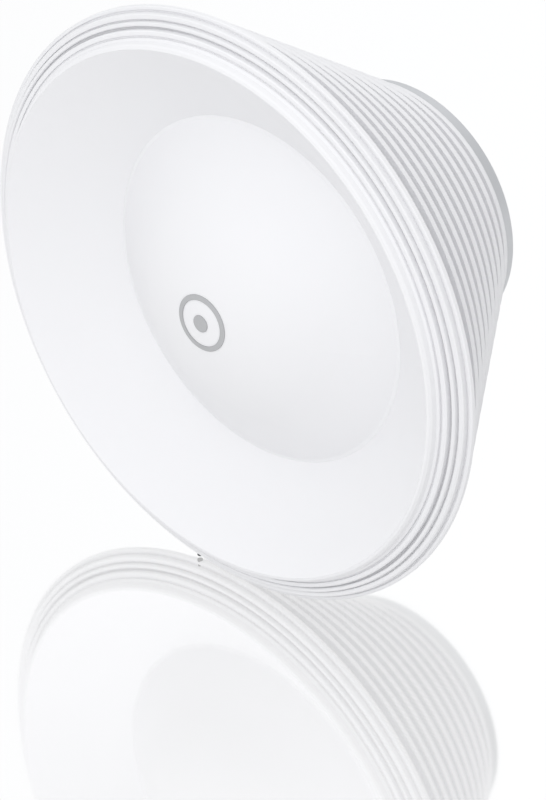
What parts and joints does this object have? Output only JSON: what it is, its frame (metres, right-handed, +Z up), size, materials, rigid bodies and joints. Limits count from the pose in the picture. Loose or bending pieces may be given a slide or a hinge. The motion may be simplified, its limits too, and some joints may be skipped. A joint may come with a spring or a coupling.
{
  "type": "outdoor wireless bridge",
  "caption": "Round white horn antenna with a smooth radome, a ribbed conical shroud and a grey twist-lock ring, with a radio unit and covered Ethernet socket at the rear.",
  "frame": {"origin": "centre of the flat rear mounting face, on the antenna axis", "axes": "+Y along the antenna axis towards the mast, out of the rear face, so the radome looks along -Y; +Z up with the Ethernet socket at the bottom; +X to the right for someone facing the radome"},
  "size_m": [0.26, 0.1513, 0.26],
  "materials": {
    "radome_white": "smooth satin, ultraviolet-stable plastic",
    "shroud_white": "fine moulded satin",
    "housing_white": "fine moulded satin",
    "seal_grey": "matte",
    "seal_dark": "matte",
    "emblem_grey": "satin print",
    "cast_aluminium": "as cast, lightly blasted",
    "ring_metal": "satin, fine turned lines",
    "brass": "machined",
    "contact_gold": "plated",
    "ptfe_white": "waxy",
    "screw_steel": "passivated",
    "can_steel": "tinned",
    "board_green": "solder mask",
    "chip_black": "moulded epoxy",
    "pad_blue": "soft silicone",
    "arrester_blue": "dipped coating",
    "led_white": "clear lens",
    "light_pipe": "polished clear",
    "jack_black": "moulded",
    "fitting_grey": "moulded satin",
    "button_grey": "moulded satin"
  },
  "bodies": {
    "unit": {"radome": "radome_white", "radome_gasket": "seal_grey", "front_emblem": "emblem_grey", "shroud": "shroud_white", "drain_plug": "seal_dark", "horn_flare": "cast_aluminium", "feed_tube": "cast_aluminium", "backshort": "cast_aluminium", "probe_vertical": "brass", "probe_horizontal": "brass", "probe_bushes": "ptfe_white", "feed_screws": "screw_steel", "housing_seal": "seal_dark", "radio_housing": "housing_white", "rear_cover": "housing_white", "mount_inserts": "brass", "vent_plug": "fitting_grey", "ground_screw": "screw_steel", "ground_washer": "screw_steel", "light_pipes": "light_pipe", "radio_board": "board_green", "board_screws": "screw_steel", "shield_can": "can_steel", "radio_chip": "chip_black", "processor_chip": "chip_black", "heat_pad": "pad_blue", "line_transformer": "chip_black", "surge_arresters": "arrester_blue", "status_lights": "led_white", "ethernet_jack": "jack_black", "jack_contacts": "contact_gold", "cover_seal": "seal_dark", "hinge_pin": "screw_steel", "reset_switch": "chip_black"},
    "lock_ring": {"lock_ring": "ring_metal"},
    "port_cover": {"port_cover": "fitting_grey", "cable_grommet": "seal_dark"},
    "reset_button": {"reset_button": "button_grey"}
  },
  "joints": [
    {"name": "lock_ring_turn", "type": "hinge", "parent": "unit", "child": "lock_ring", "pos_m": [0, -0.0258, 0], "axis": [0, 1, 0], "range_deg": [0, 30]},
    {"name": "port_cover_swing", "type": "hinge", "parent": "unit", "child": "port_cover", "pos_m": [0, -0.0175, -0.046], "axis": [-1, 0, 0], "range_deg": [0, 110]},
    {"name": "reset_press", "type": "slide", "parent": "unit", "child": "reset_button", "axis": [0, -1, 0], "range_m": [0, 0.0008], "stiffness_N_per_m": 400, "springref_m": -0.0004}
  ]
}
